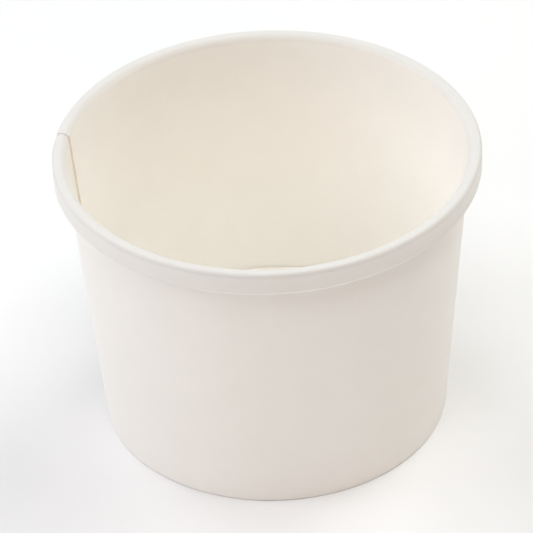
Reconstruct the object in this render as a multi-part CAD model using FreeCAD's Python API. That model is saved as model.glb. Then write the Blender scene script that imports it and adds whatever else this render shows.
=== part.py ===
import FreeCAD, Part
import math
import os

from FreeCAD import Vector

# A paper sundae cup made of two blanks of coated board.
# The side wall is one blank: lapped and sealed down one side, rolled outwards at the rim
# and turned in at the foot. The base is a drawn disc whose flange is sealed in the foot.
# Millimetres, +Z up, origin in the middle of the foot on the surface that the cup stands on.

# Whole cup
rim_diameter = 90.0
base_diameter = 74.0
cup_height = 65.5

# Boards, and the film of melted coating that seals the base in the foot
wall_board = 0.4
base_board = 0.35
seal_film = 0.03

# Rolled rim: a round bead on top, an upright band outside and an edge tucked in behind it
bead_hollow_radius = 0.65
band_height = 2.7
roll_gap = 0.05
tuck_headroom = 0.6

# Foot: the hem is the wall's lower edge, creased flat and up inside the base's flange
hem_height = 5.6

# Base disc: how high its floor lies, the bend into the flange, and the flange's free end
base_recess = 7.0
base_bend_radius = 0.25
flange_clearance = 0.3

# Side seam: where the inner edge lies, the lap, and the stretches that level out beside it
seam_angle = 169.0
lap_width = 7.0
step_width = 3.3
settle_width = 2.5
step_count = 4

# Sizes that follow from these
rim_radius = rim_diameter / 2
base_radius = base_diameter / 2
lap_thickness = 2 * wall_board
bead_radius = bead_hollow_radius + lap_thickness
tuck_length = band_height - tuck_headroom
foot_slot = base_board + 2 * seal_film

# Section of the cup: x is the radius and z the height. The wall's outer face runs from the
# foot to the bead, so its slope is the one that touches the bead's hollow side.
bead_centre = Vector(rim_radius - bead_radius, 0, cup_height - bead_radius)
foot_edge = Vector(base_radius, 0, 0)
bead_offset = bead_centre - foot_edge
slope = math.acos((bead_radius - wall_board) / bead_offset.Length) - math.atan2(bead_offset.z, bead_offset.x)
up_wall = Vector(math.sin(slope), 0, math.cos(slope))
out_of_wall = Vector(math.cos(slope), 0, -math.sin(slope))
outwards = Vector(1, 0, 0)
downwards = Vector(0, 0, -1)
origin = Vector(0, 0, 0)
cup_axis = Vector(0, 0, 1)

# The lower turn of the roll fills the room between the band and the wall, which is smaller
# at the lap, where the wall is two boards thick.
band_foot = Vector(rim_radius, 0, bead_centre.z - band_height)
roll_room = (band_foot - foot_edge).dot(out_of_wall) - roll_gap
plain_turn_radius = roll_room / (1 + math.cos(slope))
lap_turn_radius = (roll_room - wall_board) / (1 + math.cos(slope))

# Angles round the cup that the widths along the seam take up
seam_radius = (rim_radius + base_radius) / 2
lap_angle = math.degrees(lap_width / seam_radius)
step_angle = math.degrees(step_width / seam_radius)
settle_angle = math.degrees(settle_width / seam_radius)


def beside_wall(distance, height):
    # The point this far out from the wall's outer face, at this height.
    along = (height + distance * math.sin(slope)) / math.cos(slope)
    return foot_edge + out_of_wall * distance + up_wall * along


def line(start, end):
    return Part.LineSegment(start, end).toShape()


def bend(centre, radius, start, end):
    # An arc from one unit direction to another, by way of the direction half between them.
    half = (start + end).normalize()
    return Part.Arc(centre + start * radius, centre + half * radius, centre + end * radius).toShape()


def round_crease(crease, depth, start, end):
    # The coated face folds in a sharp crease, and the board's back goes round it.
    return [bend(crease, depth, start, end)] if depth else []


def board_face(layer, depth, turn_radius):
    # One face of the board in section, from the hem's free edge to the tuck's free edge.
    # layer is how far the board lies behind the inner one at the lap, and depth is 0 for the
    # coated face towards the food and the board's thickness for its back.
    offset = layer + depth
    hem_line = -wall_board - foot_slot
    hem_crease = beside_wall(hem_line - layer, wall_board)
    wall_crease = beside_wall(layer - wall_board, wall_board)
    bead = bead_radius - offset
    bead_start = bead_centre - out_of_wall * bead
    bead_end = bead_centre + outwards * bead
    band_end = band_foot - outwards * offset
    turn_centre = band_foot - outwards * turn_radius
    turn = turn_radius - offset
    tuck_start = turn_centre - out_of_wall * turn
    return [
        line(beside_wall(hem_line - offset, hem_height), hem_crease - out_of_wall * depth),
        *round_crease(hem_crease, depth, -out_of_wall, downwards),
        line(hem_crease + downwards * depth, wall_crease + downwards * depth),
        *round_crease(wall_crease, depth, downwards, out_of_wall),
        line(wall_crease + out_of_wall * depth, bead_start),
        Part.Arc(bead_start, bead_centre + cup_axis * bead, bead_end).toShape(),
        line(bead_end, band_end),
        Part.Arc(band_end, turn_centre + downwards * turn, tuck_start).toShape(),
        line(tuck_start, tuck_start + up_wall * tuck_length),
    ]


def wall_outline(first_layer, last_layer, turn_radius):
    # The closed outline of the wall in section, from the first layer's coated face to the
    # last layer's back.
    coated = board_face(first_layer, 0, turn_radius)
    back = board_face(last_layer, wall_board, turn_radius)
    hem_end = line(back[0].firstVertex().Point, coated[0].firstVertex().Point)
    tuck_end = line(coated[-1].lastVertex().Point, back[-1].lastVertex().Point)
    return Part.Wire(coated + [tuck_end] + back[::-1] + [hem_end])


def at_angle(shape, angle):
    return shape.rotated(origin, cup_axis, angle)


def turned_stretch(outline, start_angle, turn):
    return at_angle(Part.Face(outline), start_angle).revolve(origin, cup_axis, turn)


def levelling_stretch(start_angle, turn, start_layer):
    # The stretch beside the lap over which the board settles from its place at the lap to
    # its place on the plain wall.
    outlines = []
    for step in range(step_count + 1):
        share = step / step_count
        ease = share * share * (3 - 2 * share)
        layer = start_layer * (1 - ease)
        turn_radius = lap_turn_radius + (plain_turn_radius - lap_turn_radius) * ease
        outlines.append(at_angle(wall_outline(layer, layer, turn_radius), start_angle + turn * share))
    return Part.makeLoft(outlines, True, True)


def make_side_wall():
    lap = turned_stretch(wall_outline(0, wall_board, lap_turn_radius), seam_angle - lap_angle, lap_angle)
    outer_step = levelling_stretch(seam_angle, step_angle, wall_board)
    inner_settle = levelling_stretch(seam_angle - lap_angle, -settle_angle, 0)
    plain_turn = 360 - lap_angle - step_angle - settle_angle
    plain = turned_stretch(wall_outline(0, 0, plain_turn_radius), seam_angle + step_angle, plain_turn)
    return plain.multiFuse([lap, outer_step, inner_settle]).removeSplitter()


def make_base_disc():
    outer_bend = base_bend_radius + base_board
    outer_line = -wall_board - seal_film
    inner_line = outer_line - base_board
    bend_centre = beside_wall(outer_line - outer_bend, base_recess - outer_bend)
    flange_end = wall_board + flange_clearance
    floor_top = Vector(0, 0, base_recess)
    floor_underside = Vector(0, 0, base_recess - base_board)
    outline = Part.Wire([
        line(floor_top, bend_centre + cup_axis * outer_bend),
        bend(bend_centre, outer_bend, cup_axis, out_of_wall),
        line(bend_centre + out_of_wall * outer_bend, beside_wall(outer_line, flange_end)),
        line(beside_wall(outer_line, flange_end), beside_wall(inner_line, flange_end)),
        line(beside_wall(inner_line, flange_end), bend_centre + out_of_wall * base_bend_radius),
        bend(bend_centre, base_bend_radius, out_of_wall, cup_axis),
        line(bend_centre + cup_axis * base_bend_radius, floor_underside),
        line(floor_underside, floor_top),
    ])
    return Part.Face(outline).revolve(origin, cup_axis, 360)


def export(shape, name):
    solid = shape.Solids[0]
    print(name, len(shape.Solids), "solid", "valid" if solid.isValid() else "not valid",
          round(solid.Volume, 3), "mm3", len(solid.Faces), "faces")
    solid.exportStep("parts/" + name + ".step")


os.makedirs("parts", exist_ok=True)
export(make_side_wall(), "side_wall")
export(make_base_disc(), "base_disc")
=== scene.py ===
import math

import bpy
from mathutils import Matrix, Vector


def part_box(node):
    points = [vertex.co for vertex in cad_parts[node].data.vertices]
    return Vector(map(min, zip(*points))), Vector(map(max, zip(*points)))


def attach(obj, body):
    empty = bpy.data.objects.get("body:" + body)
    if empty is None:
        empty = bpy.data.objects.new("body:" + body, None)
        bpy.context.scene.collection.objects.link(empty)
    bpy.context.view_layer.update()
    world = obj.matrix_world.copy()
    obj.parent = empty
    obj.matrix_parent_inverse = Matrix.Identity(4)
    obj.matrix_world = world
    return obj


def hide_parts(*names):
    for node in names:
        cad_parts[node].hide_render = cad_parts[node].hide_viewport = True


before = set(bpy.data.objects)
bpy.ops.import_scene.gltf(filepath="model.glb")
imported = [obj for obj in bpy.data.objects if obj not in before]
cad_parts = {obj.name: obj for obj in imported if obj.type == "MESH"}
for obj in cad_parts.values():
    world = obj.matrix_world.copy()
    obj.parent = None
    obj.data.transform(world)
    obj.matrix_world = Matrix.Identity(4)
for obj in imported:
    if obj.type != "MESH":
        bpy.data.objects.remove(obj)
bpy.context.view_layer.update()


# Side wall: one fan-shaped blank of white cup board, coated on the side that the food touches.
# It is lapped and sealed down one side, rolled outwards at the rim round a hollow bead, and
# creased flat at the foot and turned up inside as a hem. Sizes are in metres and radians.
wall_low, wall_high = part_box("side_wall")
rim_radius = (wall_high.x - wall_low.x) / 2
cup_height = wall_high.z
foot_radius = 0.037
wall_board = 0.0004
base_board = 0.00035
seal_film = 0.00003

# The section of the roll and the foot. The roll is round towards the inside of the cup, flat on
# top and tighter at its outer corner, where the tool has pressed the band upright.
bead_hollow_radius = 0.00065
corner_radius = 0.0008
band_height = 0.0027
roll_gap = 0.00005
tuck_length = 0.0021
hem_height = 0.0056
fold_radius = 0.00005
lap_film = 0.000012
lap_thickness = 2 * wall_board + lap_film

# The blank's two ends at the lap, as widths along the wall at half its height. In the roll the
# lap's two boards are pressed to this share of their thickness.
seam_angle = math.radians(169.0)
lap_width = 0.0070
step_width = 0.0033
settle_width = 0.0025
pressed_share = 0.5
seam_radius = (rim_radius + foot_radius) / 2
lap_angle = lap_width / seam_radius
step_angle = step_width / seam_radius
settle_angle = settle_width / seam_radius

# What the machine and the hand leave in the board: the hem's knurl, a wave and a slight oval.
hem_ridges = 96.0
ridge_depth = 0.00007
wave_size = 0.03
wave_height = 0.00012
oval_height = 0.00006
wave_seed = 4.0

# The mesh: sections round the cup, steps up the hem, and what is welded or shown as an edge.
stations = 571
hem_steps = 6
weld_distance = 0.000001
sharp_angle = math.radians(40)

bead_radius = bead_hollow_radius + 2 * wall_board
bead_centre = Vector((rim_radius - bead_radius, 0, cup_height - bead_radius))
foot_edge = Vector((foot_radius, 0, 0))
bead_offset = bead_centre - foot_edge
bead_height_angle = math.atan2(bead_offset.z, bead_offset.x)
slope = math.acos((bead_radius - wall_board) / bead_offset.length) - bead_height_angle
up_wall = Vector((math.sin(slope), 0, math.cos(slope)))
out_of_wall = Vector((math.cos(slope), 0, -math.sin(slope)))
band_foot = Vector((rim_radius, 0, bead_centre.z - band_height))
roll_room = (band_foot - foot_edge).dot(out_of_wall) - roll_gap
hem_face = -wall_board - base_board - 2 * seal_film


def beside_wall(distance, height):
    # The point this far out from the wall's outer face, at this height.
    along = (height + distance * math.sin(slope)) / math.cos(slope)
    return foot_edge + out_of_wall * distance + up_wall * along


def heading(angle):
    return Vector((math.cos(angle), 0, math.sin(angle)))


class BoardPath:
    """The coated face of a board in section: points, each with its direction to the back."""

    def __init__(self):
        self.points = []

    def run(self, start, end, back, steps):
        for step in range(steps + 1):
            self.points.append((start.lerp(end, step / steps), back))

    def bend(self, centre, radius, first, last, steps, back_sign):
        # The run before a bend and the run after it hold the bend's own end points. The back
        # lies outside the bend where its sign is 1, and inside it where it is -1.
        for step in range(1, steps):
            direction = heading(first + (last - first) * step / steps)
            self.points.append((centre + direction * radius, direction * back_sign))


def wall_path(turn_radius, foot_thickness):
    # From the hem's free edge, down round the foot, up the wall and over into the tuck.
    up = math.pi / 2
    down = 1.5 * math.pi
    into_cup = math.pi - slope
    out_of_cup = 2 * math.pi - slope
    outwards = heading(0.0)
    crest = heading(up)
    path = BoardPath()

    hem_end = beside_wall(hem_face, hem_height)
    hem_fold = beside_wall(hem_face + fold_radius, foot_thickness + fold_radius)
    wall_fold = beside_wall(-wall_board - fold_radius, foot_thickness + fold_radius)
    under_hem = hem_fold + heading(down) * fold_radius
    under_wall = wall_fold + heading(down) * fold_radius
    path.run(hem_end, hem_fold - out_of_wall * fold_radius, -out_of_wall, hem_steps)
    path.bend(hem_fold, fold_radius, into_cup, down, steps=6, back_sign=1)
    path.run(under_hem, under_wall, heading(down), steps=2)
    path.bend(wall_fold, fold_radius, down, out_of_cup, steps=6, back_sign=1)

    bead_start = bead_centre - out_of_wall * bead_radius
    corner = Vector((rim_radius - corner_radius, 0, cup_height - corner_radius))
    flat_end = corner + crest * corner_radius
    path.run(wall_fold + out_of_wall * fold_radius, bead_start, out_of_wall, steps=12)
    path.bend(bead_centre, bead_radius, into_cup, up, steps=11, back_sign=-1)
    path.run(bead_centre + crest * bead_radius, flat_end, -crest, steps=2)
    path.bend(corner, corner_radius, up, 0.0, steps=9, back_sign=-1)
    path.run(corner + outwards * corner_radius, band_foot, -outwards, steps=3)

    turn_centre = band_foot - outwards * turn_radius
    tuck_start = turn_centre - out_of_wall * turn_radius
    path.bend(turn_centre, turn_radius, 0.0, into_cup - 2 * math.pi, steps=20, back_sign=-1)
    path.run(tuck_start, tuck_start + up_wall * tuck_length, out_of_wall, steps=3)
    return path.points


def rolled_share(place):
    # 0 on the wall, and 1 from the crest of the rim on.
    return min(max(1 + (place.x - bead_centre.x) / bead_radius, 0.0), 1.0)


def board_outline(path, layer, pressed=1.0):
    # The closed outline of one board on this path: coated face, free edge, back, free edge. In
    # the roll the board, and the layer under it, have this share of their thickness.
    edge_depths = (0.12, 0.5, 0.88)
    edge_bulge = wall_board * 0.06

    def at(point, depth):
        place, back = point
        thinned = 1 + (pressed - 1) * rolled_share(place)
        return place + back * (layer + wall_board * depth) * thinned

    def free_edge(point, depths):
        return [at(point, depth) + up_wall * edge_bulge for depth in depths]

    coated = [at(point, 0) for point in path]
    back = [at(point, 1) for point in reversed(path)]
    return coated + free_edge(path[-1], edge_depths) + back + free_edge(path[0], reversed(edge_depths))


def lap_outline(layer):
    # A board of the lap. Its fold at the foot is pressed until the two are as thick as one:
    # heights up to the lap's thickness are halved, and up to twice that they catch up again.
    turn_radius = (roll_room - wall_board - lap_film) / (1 + math.cos(slope))
    outline = board_outline(wall_path(turn_radius, lap_thickness), layer, pressed_share)
    for point in outline:
        halved = point.z / 2
        catching_up = point.z * 1.5 - lap_thickness
        point.z = min(max(halved, catching_up), point.z)
    return outline


plain_turn = roll_room / (1 + math.cos(slope))
plain_path = wall_path(plain_turn, wall_board)
outlines = {
    "plain": board_outline(plain_path, 0.0),
    "under": lap_outline(0.0),
    "over": lap_outline(wall_board + lap_film),
}


def outline_mesh(sections, path):
    # The plain section as a mesh whose faces close the board's cut ends, with the other
    # sections and what the pattern of the board needs kept on its points.
    plain = sections["plain"]
    steps = len(path)
    last = steps - 1
    edge_points = len(plain) // 2 - steps
    back_of = [steps + edge_points + last - step for step in range(steps)]
    hem_edge = list(range(len(plain) - 1, back_of[0], -1))
    tuck_edge = list(range(back_of[last] - 1, last, -1))
    faces = [[step + 1, step, back_of[step], back_of[step + 1]] for step in range(last)]
    faces[0] = [1, 0] + hem_edge + [back_of[0], back_of[1]]
    faces[-1] = [last, last - 1, back_of[last - 1], back_of[last]] + tuck_edge
    mesh = bpy.data.meshes.new("wall_outline")
    mesh.from_pydata([tuple(point) for point in plain], [], faces)

    def keep(name, values, kind="FLOAT", field="value"):
        layer = mesh.attributes.new(name, kind, "POINT")
        layer.data.foreach_set(field, values)

    def all_round(coated, tuck_end, back, hem_end):
        return coated + [tuck_end] * edge_points + back + [hem_end] * edge_points

    for name in ("under", "over"):
        keep(name, [value for point in sections[name] for value in point], "FLOAT_VECTOR", "vector")
    lengths = [0.0]
    for (here, _), (there, _) in zip(path, path[1:]):
        lengths.append(lengths[-1] + (there - here).length)
    keep("along", all_round(lengths, lengths[-1], lengths[::-1], 0.0))
    ends_a_face = [0.0] * last + [1.0]
    keep("edge_after", all_round(ends_a_face, 1.0, ends_a_face, 1.0))
    keep("depth", all_round([0.0] * steps, 0.5, [1.0] * steps, 0.5))
    knurled = [1.0 if 0 < step < hem_steps - 1 else 0.0 for step in range(steps)]
    keep("knurled", all_round([0.0] * steps, 0.0, knurled[::-1], 0.0))
    return mesh


class Wire:
    """The output of a node. Arithmetic on it adds Math nodes to its tree."""

    def __init__(self, tree, socket):
        self.tree = tree
        self.socket = socket

    def other(self, name):
        return Wire(self.tree, self.socket.node.outputs[name])

    def math(self, operation, *values):
        return self.tree.add("ShaderNodeMath", {"operation": operation}, dict(enumerate(values)))

    def __add__(self, other):
        return self.math("ADD", self, other)

    def __radd__(self, other):
        return self.math("ADD", other, self)

    def __sub__(self, other):
        return self.math("SUBTRACT", self, other)

    def __rsub__(self, other):
        return self.math("SUBTRACT", other, self)

    def __mul__(self, other):
        return self.math("MULTIPLY", self, other)

    def __rmul__(self, other):
        return self.math("MULTIPLY", other, self)

    def __truediv__(self, other):
        return self.math("DIVIDE", self, other)

    def __rtruediv__(self, other):
        return self.math("DIVIDE", other, self)

    def __mod__(self, other):
        return self.math("MODULO", self, other)

    def floor(self):
        return self.math("FLOOR", self)

    def cosine(self):
        return self.math("COSINE", self)


class Tree:
    """A node tree, and the one method that adds any node to it."""

    def __init__(self, tree):
        self.tree = tree

    def add(self, kind, settings=None, values=None):
        # Settings come first, since they decide which sockets the node shows.
        node = self.tree.nodes.new(kind)
        for name, setting in (settings or {}).items():
            setattr(node, name, setting)
        for name, value in (values or {}).items():
            shown = [s for s in node.inputs if s.enabled]
            socket = shown[name] if isinstance(name, int) else next(s for s in shown if s.name == name)
            for one in value if isinstance(value, list) else [value]:
                if isinstance(one, Wire):
                    self.tree.links.new(one.socket, socket)
                else:
                    socket.default_value = one
        return Wire(self, next((s for s in node.outputs if s.enabled), None))


def named(tree, name, kind="FLOAT"):
    return tree.add("GeometryNodeInputNamedAttribute", {"data_type": kind}, {"Name": name})


def smooth_share(tree, value, first, last):
    ends = {"Value": value, "From Min": first, "From Max": last}
    return tree.add("ShaderNodeMapRange", {"interpolation_type": "SMOOTHSTEP"}, ends)


def mixed(tree, share, first, second, kind="VECTOR"):
    return tree.add("ShaderNodeMix", {"data_type": kind}, {"Factor": share, "A": first, "B": second})


def times(tree, vector, factors):
    return tree.add("ShaderNodeVectorMath", {"operation": "MULTIPLY"}, {0: vector, 1: factors})


def strip_tree():
    # A tree that rolls one strip of board round the cup, from its inner end to its outer one.
    group = bpy.data.node_groups.new("roll_the_board", "GeometryNodeTree")
    group.interface.new_socket("Geometry", in_out="OUTPUT", socket_type="NodeSocketGeometry")
    kinds = {
        "Outline": "Geometry", "Stations": "Int", "Seam": "Float", "Lap": "Float", "Settle": "Float",
        "Step": "Float", "Ridges": "Float", "Ridge Depth": "Float", "Wave": "Float", "Wave Size": "Float",
        "Oval": "Float", "Seed": "Float", "Board": "Material",
    }
    for name, kind in kinds.items():
        group.interface.new_socket(name, in_out="INPUT", socket_type="NodeSocket" + kind)
    tree = Tree(group)
    given = tree.add("NodeGroupInput")
    lap = given.other("Lap")
    whole_turn = 2 * math.pi

    def on_the_cup(turned, at, knurled):
        # The place of a point of the section once the board has gone this far round.
        settled = smooth_share(tree, turned, lap, lap + given.other("Settle"))
        stepped = smooth_share(tree, turned, whole_turn - given.other("Step"), whole_turn)
        section = mixed(tree, settled, at["under"], at["plain"])
        section = mixed(tree, stepped, section, at["over"])
        ridge = (1 - (turned * given.other("Ridges")).cosine()) * 0.5
        groove = ridge * knurled * given.other("Ridge Depth")
        inset = tree.add("ShaderNodeCombineXYZ", {}, {"X": groove})
        grooved = tree.add("ShaderNodeVectorMath", {"operation": "ADD"}, {0: section, 1: inset})
        azimuth = given.other("Seam") - turned
        turn = {"Vector": grooved, "Angle": azimuth}
        placed = tree.add("ShaderNodeVectorRotate", {"rotation_type": "Z_AXIS"}, turn)

        height = tree.add("ShaderNodeSeparateXYZ", {}, {"Vector": placed}).other("Z")
        waves_a_metre = 1 / given.other("Wave Size")
        pattern = {"Vector": placed, "W": given.other("Seed"), "Scale": waves_a_metre, "Detail": 1.0}
        noise = tree.add("ShaderNodeTexNoise", {"noise_dimensions": "4D"}, pattern)
        swell = (azimuth * 2).cosine() * given.other("Oval") + (noise - 0.5) * given.other("Wave")
        swelling = 1 + swell * (height / cup_height) * (1 / rim_radius)
        wider = tree.add("ShaderNodeCombineXYZ", {}, {"X": swelling, "Y": swelling, "Z": 1.0})
        return times(tree, placed, wider)

    outline = given.other("Outline")
    sections = {name: named(tree, name, "FLOAT_VECTOR") for name in ("under", "over")}
    sections["plain"] = tree.add("GeometryNodeInputPosition")
    knurled = named(tree, "knurled")
    along = named(tree, "along")
    depth = named(tree, "depth")
    edge_after = named(tree, "edge_after")
    total_turn = whole_turn + lap

    # The strip is a grid with the outline's points in each of its columns and the first of them
    # once more at the end, so a point's index tells its station and its place on the outline.
    rounding_guard = 0.0001
    index = tree.add("GeometryNodeInputIndex")
    count = tree.add("GeometryNodeAttributeDomainSize", {"component": "MESH"}, {"Geometry": outline})
    column = count + 1
    grid_size = {"Vertices X": given.other("Stations"), "Vertices Y": column}
    grid = tree.add("GeometryNodeMeshGrid", {}, grid_size)
    station = (index / column + rounding_guard).floor()
    place = (index % column) % count
    turned = station / (given.other("Stations") - 1) * total_turn

    def sampled(value, kind="FLOAT", at=place):
        from_outline = {"Geometry": outline, "Value": value, "Index": at}
        return tree.add("GeometryNodeSampleIndex", {"data_type": kind}, from_outline)

    def marked(geometry, name, value, kind="FLOAT", domain="POINT"):
        kept = {"Geometry": geometry, "Name": name, "Value": value}
        return tree.add("GeometryNodeStoreNamedAttribute", {"data_type": kind, "domain": domain}, kept)

    def blank_place(turned, along, depth):
        on_blank = {"X": turned * seam_radius, "Y": along, "Z": depth * wall_board}
        return tree.add("ShaderNodeCombineXYZ", {}, on_blank)

    around = {name: sampled(section, "FLOAT_VECTOR") for name, section in sections.items()}
    position = on_the_cup(turned, around, sampled(knurled))
    strip = marked(grid, "blank", blank_place(turned, sampled(along), sampled(depth)), "FLOAT_VECTOR")
    strip = marked(strip, "back", sampled(depth))
    strip = marked(strip, "cut", sampled(edge_after, at=index % count), domain="FACE")
    strip = tree.add("GeometryNodeSetPosition", {}, {"Geometry": strip, "Position": position})

    def cut_end(turned):
        end = marked(outline, "blank", blank_place(turned, along, depth), "FLOAT_VECTOR")
        end = marked(end, "back", depth)
        end = marked(end, "cut", 1.0, domain="FACE")
        place_on_cup = on_the_cup(turned, sections, knurled)
        return tree.add("GeometryNodeSetPosition", {}, {"Geometry": end, "Position": place_on_cup})

    inner_end = tree.add("GeometryNodeFlipFaces", {}, {"Mesh": cut_end(0.0)})
    board = tree.add("GeometryNodeJoinGeometry", {}, {"Geometry": [strip, inner_end, cut_end(total_turn)]})
    board = tree.add("GeometryNodeMergeByDistance", {}, {"Geometry": board, "Distance": weld_distance})
    edge_angle = tree.add("GeometryNodeInputMeshEdgeAngle")
    over_limit = {"A": edge_angle, "B": sharp_angle}
    sharp = tree.add("FunctionNodeCompare", {"operation": "GREATER_THAN"}, over_limit)
    smooth_faces = {"Geometry": board, "Shade Smooth": True}
    board = tree.add("GeometryNodeSetShadeSmooth", {"domain": "FACE"}, smooth_faces)
    sharp_edges = {"Geometry": board, "Selection": sharp, "Shade Smooth": False}
    board = tree.add("GeometryNodeSetShadeSmooth", {"domain": "EDGE"}, sharp_edges)
    board = tree.add("GeometryNodeRealizeInstances", {}, {"Geometry": board})
    board = tree.add("GeometryNodeSetMaterial", {}, {"Geometry": board, "Material": given.other("Board")})
    tree.add("NodeGroupOutput", {}, {"Geometry": board})
    return group


# The looks of the cup's boards. The roll starts this far along the wall's blank, and a board
# that is never rolled has it at a metre, far past its own end.
board_white = (0.91, 0.893, 0.853)
edge_brown = (0.88, 0.82, 0.71)
rolled_edge = (0.84, 0.80, 0.79)
# Painted shade: the grey tint laid on the top of the roll and, less of it, on the band.
painted_rim_shade = (0.75, 0.76, 0.775)
coated_roughness = 0.55
plain_roughness = 0.68
blank_to_rim = (hem_height + bead_centre.z) / math.cos(slope)
never_rolled = 1.0


def board_material(name, white, rolled_from):
    # Bleached cup board: a faint cloudiness from the pulp, a fine fibre in the surface, a
    # satin film on the coated face and a beige, layered edge where it is cut. From this far
    # along the blank to the band's foot the colour is greyed as painted shade, most on the up-facing top
    # of the roll.
    cloud_tone = 0.035
    fibre_tone = 0.03
    fibre_stretch = (1.0, 0.35, 1.0)
    ply_stretch = (0.25, 0.25, 26.0)
    edge_base_tone = 0.82
    ply_tone = 0.24
    end_tone = 0.14
    band_shade_ease = 0.6
    fibre_gloss = 0.12
    face_relief = 0.10
    edge_relief = 0.5
    flat_top = bead_radius - corner_radius
    bead_length = bead_radius * (math.pi / 2 - slope)
    bead_end = rolled_from + bead_length + flat_top + corner_radius * math.pi / 2
    band_end = bead_end + band_height + flat_top
    material = bpy.data.materials.new(name)
    material.use_nodes = True
    material.node_tree.nodes.clear()
    tree = Tree(material.node_tree)

    def kept(attribute, output):
        return tree.add("ShaderNodeAttribute", {"attribute_name": attribute}).other(output)

    def noise(where, scale, detail, roughness=0.5):
        values = {"Vector": where, "Scale": scale, "Detail": detail, "Roughness": roughness}
        return tree.add("ShaderNodeTexNoise", {}, values)

    def scaled(colour, scale):
        return tree.add("ShaderNodeVectorMath", {"operation": "SCALE"}, {"Vector": colour, "Scale": scale})

    place = tree.add("ShaderNodeTexCoord").other("Object")
    blank = kept("blank", "Vector")
    back = kept("back", "Fac")
    cut = kept("cut", "Fac")
    along = tree.add("ShaderNodeSeparateXYZ", {}, {"Vector": blank}).other("Y")

    def past(point, before, after):
        # 0 up to this far before a point along the blank, and 1 from this far after it on.
        return smooth_share(tree, along, point - before, point + after)

    cloud = noise(place, scale=140.0, detail=3.0, roughness=0.55)
    fibre = noise(times(tree, blank, fibre_stretch), scale=2600.0, detail=4.0, roughness=0.65)
    grain = noise(place, scale=5200.0, detail=2.0)
    plies = noise(times(tree, blank, ply_stretch), scale=1500.0, detail=3.0, roughness=0.6)
    ends = noise(place, scale=7000.0, detail=2.0)

    # Painted shade on the rim: the roll is greyed from where it starts to the band's foot, less on the
    # band.
    rolled = past(rolled_from, before=0.0008, after=0.0014)
    on_band = past(bead_end, before=0.0010, after=0.0002)
    past_band = past(band_end, before=0.0001, after=0.0003)
    painted_shade_share = rolled * (1 - on_band * band_shade_ease) * (1 - past_band)
    paper = scaled(white, 1 + (cloud - 0.5) * cloud_tone + (fibre - 0.5) * fibre_tone)
    paper = mixed(tree, painted_shade_share, paper, times(tree, paper, painted_rim_shade), "RGBA")
    edge = mixed(tree, rolled, (*edge_brown, 1.0), (*rolled_edge, 1.0), "RGBA")
    edge = scaled(edge, edge_base_tone + plies * ply_tone + ends * end_tone)
    colour = mixed(tree, cut, paper, edge, "RGBA")

    film = (1 - back) * (1 - cut)
    film_gloss = coated_roughness - plain_roughness
    roughness = plain_roughness + film_gloss * film + (fibre - 0.5) * fibre_gloss
    height = (fibre * 0.6 + grain * 0.4) * (face_relief + cut * edge_relief)
    bump = tree.add("ShaderNodeBump", {}, {"Height": height, "Distance": 0.00006, "Strength": 0.6})
    finish = {"Base Color": colour, "Roughness": roughness, "Normal": bump, "Specular IOR Level": 0.35}
    board = tree.add("ShaderNodeBsdfPrincipled", {}, finish)
    tree.add("ShaderNodeOutputMaterial", {}, {"Surface": board})
    return material


def grown(name, mesh, group, sizes):
    # The plain mesh that a tree makes of its input mesh.
    grower = bpy.data.objects.new(name, mesh)
    bpy.context.scene.collection.objects.link(grower)
    modifier = grower.modifiers.new("grow", "NODES")
    modifier.node_group = group
    for socket in group.interface.items_tree:
        if socket.in_out == "INPUT" and socket.name in sizes:
            modifier[socket.identifier] = sizes[socket.name]
    evaluated = grower.evaluated_get(bpy.context.evaluated_depsgraph_get())
    result = bpy.data.meshes.new_from_object(evaluated)
    grower.modifiers.remove(modifier)
    grower.data = result
    return grower


strip_sizes = {
    "Stations": stations, "Seam": seam_angle, "Lap": lap_angle, "Settle": settle_angle,
    "Step": step_angle, "Ridges": hem_ridges, "Ridge Depth": ridge_depth, "Wave": wave_height,
    "Wave Size": wave_size, "Oval": oval_height, "Seed": wave_seed,
    "Board": board_material("white_cup_board", board_white, blank_to_rim),
}
side_wall = grown("rolled_side_wall", outline_mesh(outlines, plain_path), strip_tree(), strip_sizes)
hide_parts("side_wall")
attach(side_wall, "root")


# Base: one round blank of thinner board, drawn into a shallow upside-down dish. Its flange
# stands down inside the foot, sealed between the wall and the hem, and its floor is coated.
floor_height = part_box("base_disc")[1].z
floor_bend = 0.00025
flange_clearance = 0.0003
floor_dome = 0.00012
base_white = (0.87, 0.83, 0.76)

# The puckers start at this share of the floor's radius and end this far down the flange.
pucker_count = 72
pucker_depth = 0.000015
pucker_start = 0.93
pucker_reach = 0.004

# The mesh: steps of the floor, the bend and the flange in section, and steps round the disc.
floor_steps = 14
bend_steps = 8
flange_steps = 5
round_steps = 288


def base_section():
    # The dish's section as one closed chain from the axis, over the top and back underneath.
    outer_bend = floor_bend + base_board
    outer_face = -wall_board - seal_film
    inner_face = outer_face - base_board
    centre = beside_wall(outer_face - outer_bend, floor_height - outer_bend)
    flange_end = wall_board + flange_clearance
    swing = math.pi / 2 + slope

    def floor_point(share, drop):
        dome = floor_dome * (1 - share * share) ** 2
        return Vector((centre.x * share, 0, floor_height + dome - drop))

    def corner(radius):
        angles = [math.pi / 2 - swing * step / bend_steps for step in range(1, bend_steps + 1)]
        return [centre + heading(angle) * radius for angle in angles]

    def flange(face, bend_end):
        end = beside_wall(face, flange_end)
        return [bend_end.lerp(end, step / flange_steps) for step in range(1, flange_steps + 1)]

    shares = [step / floor_steps for step in range(floor_steps + 1)]
    over = [floor_point(share, 0.0) for share in shares] + corner(outer_bend)
    over += flange(outer_face, over[-1])
    under = [floor_point(share, base_board) for share in shares] + corner(floor_bend)
    under += flange(inner_face, under[-1])
    return over, under[::-1]


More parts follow.
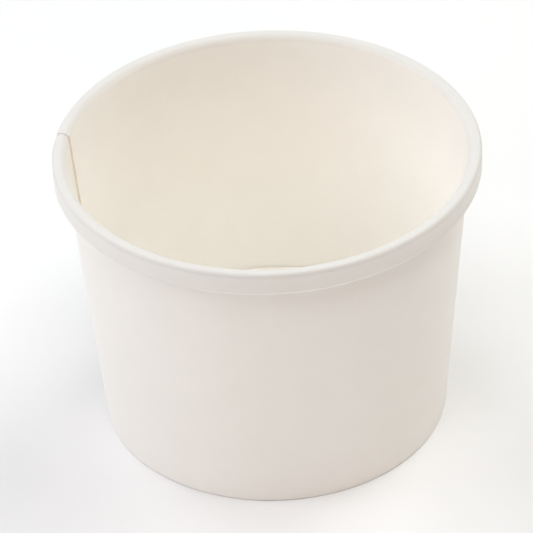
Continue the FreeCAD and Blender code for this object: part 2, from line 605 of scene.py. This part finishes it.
def drawn_dish():
    # The section turned round the axis, puckered a little where the blank was drawn in. Its
    # first and last points lie on the axis, and each is one point of the dish.
    over, under = base_section()
    top_middle, *rows, under_middle = over + under
    pucker_from = over[floor_steps].x * pucker_start
    pucker_width = over[-1].x - pucker_from

    def turned_point(row, step):
        azimuth = 2 * math.pi * step / round_steps
        share = min(max((row.x - pucker_from) / pucker_width, 0.0), 1.0)
        height = row.z
        if height > floor_height - pucker_reach:
            height += pucker_depth * share * (1 - share) * 4 * math.cos(pucker_count * azimuth)
        return (row.x * math.cos(azimuth), row.x * math.sin(azimuth), height)

    points = [turned_point(row, step) for row in rows for step in range(round_steps)]
    top = len(points)
    bottom = top + 1
    last_row = top - round_steps
    faces = []
    for step in range(round_steps):
        after = (step + 1) % round_steps
        faces.append((top, step, after))
        for row in range(0, last_row, round_steps):
            faces.append((row + step, row + round_steps + step, row + round_steps + after, row + after))
        faces.append((last_row + after, last_row + step, bottom))
    mesh = bpy.data.meshes.new("base_disc_board")
    mesh.from_pydata(points + [tuple(top_middle), tuple(under_middle)], [], faces)
    mesh.shade_smooth()
    mesh.set_sharp_from_angle(angle=sharp_angle)
    return mesh


def mark_board(mesh):
    # What the board's pattern reads: the place on the blank, the back and the cut edge.
    blank = mesh.attributes.new("blank", "FLOAT_VECTOR", "POINT")
    back = mesh.attributes.new("back", "FLOAT", "POINT")
    cut = mesh.attributes.new("cut", "FLOAT", "FACE")
    facing_down = -0.5
    for vertex in mesh.vertices:
        blank.data[vertex.index].vector = vertex.co
        towards_axis = vertex.normal.dot(Vector((vertex.co.x, vertex.co.y, 0))) < 0
        back.data[vertex.index].value = 1.0 if vertex.normal.z < facing_down or towards_axis else 0.0
    flange_foot = min(vertex.co.z for vertex in mesh.vertices) + base_board * 0.2
    for face in mesh.polygons:
        cut.data[face.index].value = 1.0 if face.center.z < flange_foot else 0.0


dish = drawn_dish()
mark_board(dish)
dish.materials.append(board_material("base_cup_board", base_white, never_rolled))
base_disc = bpy.data.objects.new("drawn_base_disc", dish)
bpy.context.scene.collection.objects.link(base_disc)
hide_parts("base_disc")
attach(base_disc, "root")


# Setting: a pale matt sweep under the cup, round soft lamps about it and high up, and a dim
# room that is pale near the horizon.
sweep_half = 4.0
sweep_white = (0.79, 0.80, 0.815, 1.0)
sweep_roughness = 0.9
sweep_corners = [
    (-sweep_half, -sweep_half, 0), (sweep_half, -sweep_half, 0),
    (sweep_half, sweep_half, 0), (-sweep_half, sweep_half, 0),
]
sweep = bpy.data.meshes.new("pale_floor")
sweep.from_pydata(sweep_corners, [], [(0, 1, 2, 3)])
sweep_finish = bpy.data.materials.new("matt_pale_sweep")
sweep_finish.use_nodes = True
sweep_shader = sweep_finish.node_tree.nodes["Principled BSDF"]
sweep_shader.inputs["Base Color"].default_value = sweep_white
sweep_shader.inputs["Roughness"].default_value = sweep_roughness
sweep.materials.append(sweep_finish)
pale_floor = bpy.data.objects.new("pale_floor", sweep)
bpy.context.scene.collection.objects.link(pale_floor)

lamp_aim = Vector((0, 0, 0.03))


def soft_lamp(name, azimuth, elevation, distance, size, power, colour):
    # A round lamp this many degrees round from +X and up from the floor.
    lamp = bpy.data.lights.new(name, "AREA")
    lamp.shape = "DISK"
    lamp.size = size
    lamp.energy = power
    lamp.color = colour
    holder = bpy.data.objects.new(name, lamp)
    round_by = math.radians(azimuth)
    up_by = math.radians(elevation)
    level = Vector((math.cos(round_by), math.sin(round_by), 0))
    place = (level * math.cos(up_by) + Vector((0, 0, math.sin(up_by)))) * distance
    aimed = (lamp_aim - place).to_track_quat("-Z", "Y").to_matrix().to_4x4()
    holder.matrix_world = Matrix.Translation(place) @ aimed
    bpy.context.scene.collection.objects.link(holder)


soft_lamp("high_front_lamp", -90, 68, 1.3, 0.7, 5.6, (0.99, 1.0, 0.98))
soft_lamp("high_right_lamp", 0, 60, 1.3, 0.8, 4.1, (0.93, 0.96, 0.94))
soft_lamp("left_lamp", 180, 35, 1.3, 0.8, 5.8, (0.96, 0.95, 1.0))
soft_lamp("back_left_lamp", 135, 40, 1.3, 0.8, 5.5, (0.98, 1.0, 0.99))
soft_lamp("back_right_lamp", 45, 40, 1.3, 0.8, 6.9, (0.99, 1.0, 0.96))
soft_lamp("right_lamp", 0, 35, 1.3, 0.8, 1.2, (1.0, 0.74, 0.60))
soft_lamp("front_lamp", -80, 32, 1.4, 0.8, 2.2, (1.0, 0.60, 0.35))
soft_lamp("front_left_lamp", -135, 40, 1.4, 0.8, 2.7, (0.99, 0.96, 1.0))

room_white = (1.0, 1.0, 1.0, 1.0)
haze_height = 0.18
haze_strength = 0.75
room = bpy.data.worlds.new("pale_room")
room.use_nodes = True
room.node_tree.nodes.clear()
room_tree = Tree(room.node_tree)
look = room_tree.add("ShaderNodeTexCoord")
look_up = room_tree.add("ShaderNodeSeparateXYZ", {}, {"Vector": look}).other("Z")
room_light = (1 - smooth_share(room_tree, look_up, 0.0, haze_height)) * haze_strength
room_shade = room_tree.add("ShaderNodeBackground", {}, {"Color": room_white, "Strength": room_light})
room_tree.add("ShaderNodeOutputWorld", {}, {"Surface": room_shade})
bpy.context.scene.world = room
bpy.context.scene.view_settings.view_transform = "Standard"


# Camera: a long lens that looks down at the cup, rolled a little to the side, as the photo was
# taken. Its distance and its focal length give the photo's slight perspective.
camera_pitch = 0.6386
camera_roll = -0.0422
camera_distance = 0.9
camera_target = Vector((-0.00108, 0, 0.0344))
forward = Vector((0, math.cos(camera_pitch), -math.sin(camera_pitch)))
level_up = Vector((0, math.sin(camera_pitch), math.cos(camera_pitch)))
level_right = Vector((1, 0, 0))
camera_right = level_right * math.cos(camera_roll) + level_up * math.sin(camera_roll)
camera_up = level_up * math.cos(camera_roll) - level_right * math.sin(camera_roll)
camera_turn = Matrix((camera_right, camera_up, -forward)).transposed().to_4x4()
lens = bpy.data.cameras.new("long_lens")
lens.sensor_width = 36.0
lens.lens = 284.3
lens.clip_end = 50.0
camera = bpy.data.objects.new("camera", lens)
camera.matrix_world = Matrix.Translation(camera_target - forward * camera_distance) @ camera_turn
bpy.context.scene.collection.objects.link(camera)
bpy.context.scene.camera = camera
